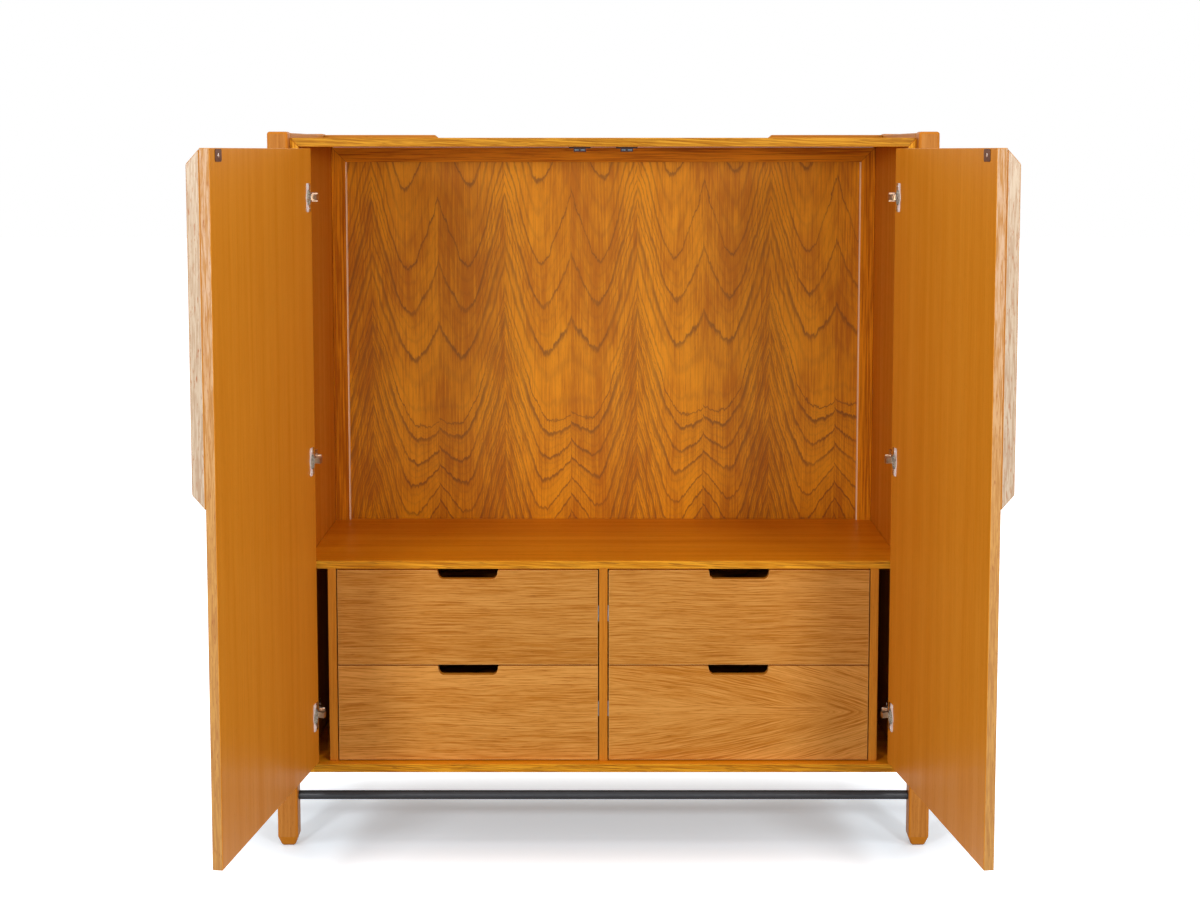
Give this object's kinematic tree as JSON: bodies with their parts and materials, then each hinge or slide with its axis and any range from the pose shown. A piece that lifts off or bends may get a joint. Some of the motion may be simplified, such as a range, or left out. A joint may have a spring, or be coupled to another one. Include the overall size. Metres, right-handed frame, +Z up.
{
  "type": "two-door cabinet with inner drawers",
  "caption": "Nearly square cabinet on posts: a pair of inset doors with raised pull bars opens on a tall compartment over inner drawers with finger notches.",
  "frame": {"origin": "on the floor under the middle of the box round the cabinet with its doors open as at rest", "axes": "+Z up, +Y from the front to the back, +X to the viewer's right"},
  "size_m": [1.525, 1.2063, 1.577],
  "materials": {
    "post_oak": "satin lacquered solid oak, honey orange, straight grain",
    "carcass_veneer": "satin lacquered oak veneer, honey orange",
    "back_veneer": "satin lacquered book-matched crown-cut veneer",
    "door_veneer": "satin lacquered oak veneer, straight vertical grain",
    "pull_oak": "satin lacquered solid oak, paler, coarse grain",
    "front_veneer": "satin lacquered solid oak, pale tan, horizontal grain",
    "box_wood": "satin lacquered hardwood, red-brown",
    "nickel": "satin nickel plate",
    "zinc_steel": "zinc plated rolled steel",
    "black_steel": "matt black powder coat",
    "brown_plastic": "dark brown moulded plastic"
  },
  "bodies": {
    "cabinet": {"front_left_post": "post_oak", "front_right_post": "post_oak", "rear_left_post": "post_oak", "rear_right_post": "post_oak", "top_panel": "carcass_veneer", "bottom_panel": "carcass_veneer", "left_side_panel": "carcass_veneer", "right_side_panel": "carcass_veneer", "back_panel": "back_veneer", "back_frame": "carcass_veneer", "deck_panel": "carcass_veneer", "left_housing_side": "carcass_veneer", "right_housing_side": "carcass_veneer", "centre_divider": "carcass_veneer", "left_top_rail": "post_oak", "right_top_rail": "post_oak", "left_gallery_return": "post_oak", "right_gallery_return": "post_oak", "front_stretcher_rod": "black_steel", "rear_stretcher_rod": "black_steel", "left_magnetic_catch": "brown_plastic", "right_magnetic_catch": "brown_plastic", "left_upper_hinge_arm": "nickel", "left_middle_hinge_arm": "nickel", "left_lower_hinge_arm": "nickel", "right_upper_hinge_arm": "nickel", "right_middle_hinge_arm": "nickel", "right_lower_hinge_arm": "nickel"},
    "left_door": {"left_door_panel": "door_veneer", "left_door_pull_bar": "pull_oak", "left_upper_hinge_cup": "nickel", "left_middle_hinge_cup": "nickel", "left_lower_hinge_cup": "nickel"},
    "left_hinge_links": {"left_upper_hinge_link": "nickel", "left_middle_hinge_link": "nickel", "left_lower_hinge_link": "nickel"},
    "right_door": {"right_door_panel": "door_veneer", "right_door_pull_bar": "pull_oak", "right_upper_hinge_cup": "nickel", "right_middle_hinge_cup": "nickel", "right_lower_hinge_cup": "nickel"},
    "right_hinge_links": {"right_upper_hinge_link": "nickel", "right_middle_hinge_link": "nickel", "right_lower_hinge_link": "nickel"},
    "upper_left_drawer": {"upper_left_drawer_front": "front_veneer", "upper_left_drawer_box": "box_wood"},
    "upper_left_drawer_slides": {"upper_left_drawer_outer_slide_rail": "zinc_steel", "upper_left_drawer_inner_slide_rail": "zinc_steel"},
    "upper_right_drawer": {"upper_right_drawer_front": "front_veneer", "upper_right_drawer_box": "box_wood"},
    "upper_right_drawer_slides": {"upper_right_drawer_outer_slide_rail": "zinc_steel", "upper_right_drawer_inner_slide_rail": "zinc_steel"},
    "lower_left_drawer": {"lower_left_drawer_front": "front_veneer", "lower_left_drawer_box": "box_wood"},
    "lower_left_drawer_slides": {"lower_left_drawer_outer_slide_rail": "zinc_steel", "lower_left_drawer_inner_slide_rail": "zinc_steel"},
    "lower_right_drawer": {"lower_right_drawer_front": "front_veneer", "lower_right_drawer_box": "box_wood"},
    "lower_right_drawer_slides": {"lower_right_drawer_outer_slide_rail": "zinc_steel", "lower_right_drawer_inner_slide_rail": "zinc_steel"}
  },
  "joints": [
    {"name": "left_door_hinge", "type": "hinge", "parent": "cabinet", "child": "left_door", "pos_m": [-0.651, 0.04322, 0.8625], "axis": [0, 0, -1], "range_deg": [-97.6, 12.4]},
    {"name": "left_hinge_links_turn", "type": "hinge", "parent": "cabinet", "child": "left_hinge_links", "pos_m": [-0.651, 0.04322, 0.8625], "axis": [0, 0, -1], "range_deg": [-48.8, 6.2]},
    {"name": "right_door_hinge", "type": "hinge", "parent": "cabinet", "child": "right_door", "pos_m": [0.651, 0.04322, 0.8625], "axis": [0, 0, 1], "range_deg": [-97.6, 12.4]},
    {"name": "right_hinge_links_turn", "type": "hinge", "parent": "cabinet", "child": "right_hinge_links", "pos_m": [0.651, 0.04322, 0.8625], "axis": [0, 0, 1], "range_deg": [-48.8, 6.2]},
    {"name": "upper_left_drawer_slide", "type": "slide", "parent": "cabinet", "child": "upper_left_drawer", "axis": [0, -1, 0], "range_m": [0, 0.4]},
    {"name": "upper_left_drawer_slides_travel", "type": "slide", "parent": "cabinet", "child": "upper_left_drawer_slides", "axis": [0, -1, 0], "range_m": [0, 0.2]},
    {"name": "upper_right_drawer_slide", "type": "slide", "parent": "cabinet", "child": "upper_right_drawer", "axis": [0, -1, 0], "range_m": [0, 0.4]},
    {"name": "upper_right_drawer_slides_travel", "type": "slide", "parent": "cabinet", "child": "upper_right_drawer_slides", "axis": [0, -1, 0], "range_m": [0, 0.2]},
    {"name": "lower_left_drawer_slide", "type": "slide", "parent": "cabinet", "child": "lower_left_drawer", "axis": [0, -1, 0], "range_m": [0, 0.4]},
    {"name": "lower_left_drawer_slides_travel", "type": "slide", "parent": "cabinet", "child": "lower_left_drawer_slides", "axis": [0, -1, 0], "range_m": [0, 0.2]},
    {"name": "lower_right_drawer_slide", "type": "slide", "parent": "cabinet", "child": "lower_right_drawer", "axis": [0, -1, 0], "range_m": [0, 0.4]},
    {"name": "lower_right_drawer_slides_travel", "type": "slide", "parent": "cabinet", "child": "lower_right_drawer_slides", "axis": [0, -1, 0], "range_m": [0, 0.2]}
  ],
  "couplings": [
    {"joint": "left_hinge_links_turn", "follows": "left_door_hinge", "ratio": 0.5},
    {"joint": "right_hinge_links_turn", "follows": "right_door_hinge", "ratio": 0.5},
    {"joint": "upper_left_drawer_slides_travel", "follows": "upper_left_drawer_slide", "ratio": 0.5},
    {"joint": "upper_right_drawer_slides_travel", "follows": "upper_right_drawer_slide", "ratio": 0.5},
    {"joint": "lower_left_drawer_slides_travel", "follows": "lower_left_drawer_slide", "ratio": 0.5},
    {"joint": "lower_right_drawer_slides_travel", "follows": "lower_right_drawer_slide", "ratio": 0.5}
  ]
}
